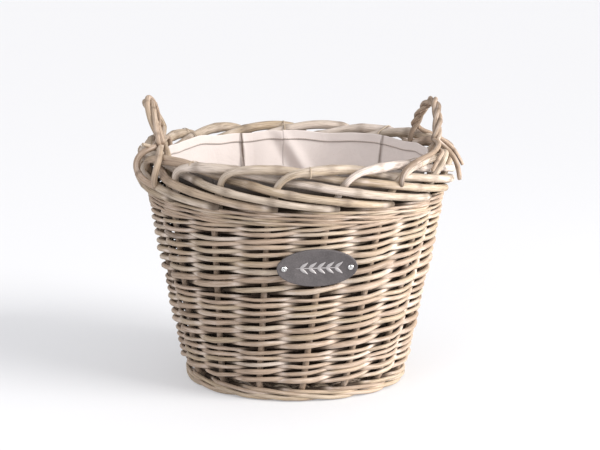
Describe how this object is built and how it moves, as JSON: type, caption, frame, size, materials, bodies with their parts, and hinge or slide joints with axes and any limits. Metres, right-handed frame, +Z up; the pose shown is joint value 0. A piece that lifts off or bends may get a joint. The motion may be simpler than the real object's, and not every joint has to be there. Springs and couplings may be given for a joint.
{
  "type": "wicker log basket",
  "caption": "Round tapered willow log basket with a rolled woven border, twisted rod handles over the rim, a cotton liner tied inside and an oval front plaque.",
  "frame": {"origin": "centre of the base, on the surface the basket stands on", "axes": "+Z up along the basket's axis; -Y is the front, where the plaque is; the handles stand at +X and -X"},
  "size_m": [0.463, 0.463, 0.4173],
  "materials": {
    "willow_weave": "matt, grey-washed willow, fine grain along each rod",
    "willow_stakes": "matt, grey-washed willow",
    "willow_border": "matt to faintly satin, grey-washed willow with knots",
    "willow_handles": "matt, grey-washed willow with knots",
    "willow_base": "matt, grey-washed willow",
    "liner_cotton": "unbleached plain-weave cotton",
    "liner_hem": "doubled cotton with one row of stitches",
    "liner_ties": "narrow cotton tape",
    "plaque_slate_grey": "dark grey, satin",
    "plaque_motif": "pale grey, satin",
    "screw_steel": "polished"
  },
  "bodies": {
    "root": {"base_lower_sticks": "willow_base", "base_upper_sticks": "willow_base", "base_weave": "willow_base", "border_rod_01": "willow_border", "border_rod_02": "willow_border", "border_rod_03": "willow_border", "border_rod_04": "willow_border", "border_rod_05": "willow_border", "border_rod_06": "willow_border", "border_rod_07": "willow_border", "border_rod_08": "willow_border", "border_rod_09": "willow_border", "border_rod_10": "willow_border", "border_rod_11": "willow_border", "border_rod_12": "willow_border", "border_rod_13": "willow_border", "border_rod_14": "willow_border", "border_rod_15": "willow_border", "border_rod_16": "willow_border", "bottom_wale": "willow_weave", "handle_left_strand_1": "willow_handles", "handle_left_strand_2": "willow_handles", "handle_left_strand_3": "willow_handles", "handle_right_strand_1": "willow_handles", "handle_right_strand_2": "willow_handles", "handle_right_strand_3": "willow_handles", "liner_base": "liner_cotton", "liner_hem": "liner_hem", "liner_ties": "liner_ties", "liner_wall": "liner_cotton", "lower_rand": "willow_weave", "middle_rand": "willow_weave", "plaque_plate": "plaque_slate_grey", "plaque_screws": "screw_steel", "plaque_sprig": "plaque_motif", "stake_01": "willow_stakes", "stake_02": "willow_stakes", "stake_03": "willow_stakes", "stake_04": "willow_stakes", "stake_05": "willow_stakes", "stake_06": "willow_stakes", "stake_07": "willow_stakes", "stake_08": "willow_stakes", "stake_09": "willow_stakes", "stake_10": "willow_stakes", "stake_11": "willow_stakes", "stake_12": "willow_stakes", "stake_13": "willow_stakes", "stake_14": "willow_stakes", "stake_15": "willow_stakes", "stake_16": "willow_stakes", "top_wale": "willow_weave", "upper_rand": "willow_weave"}
  },
  "joints": []
}
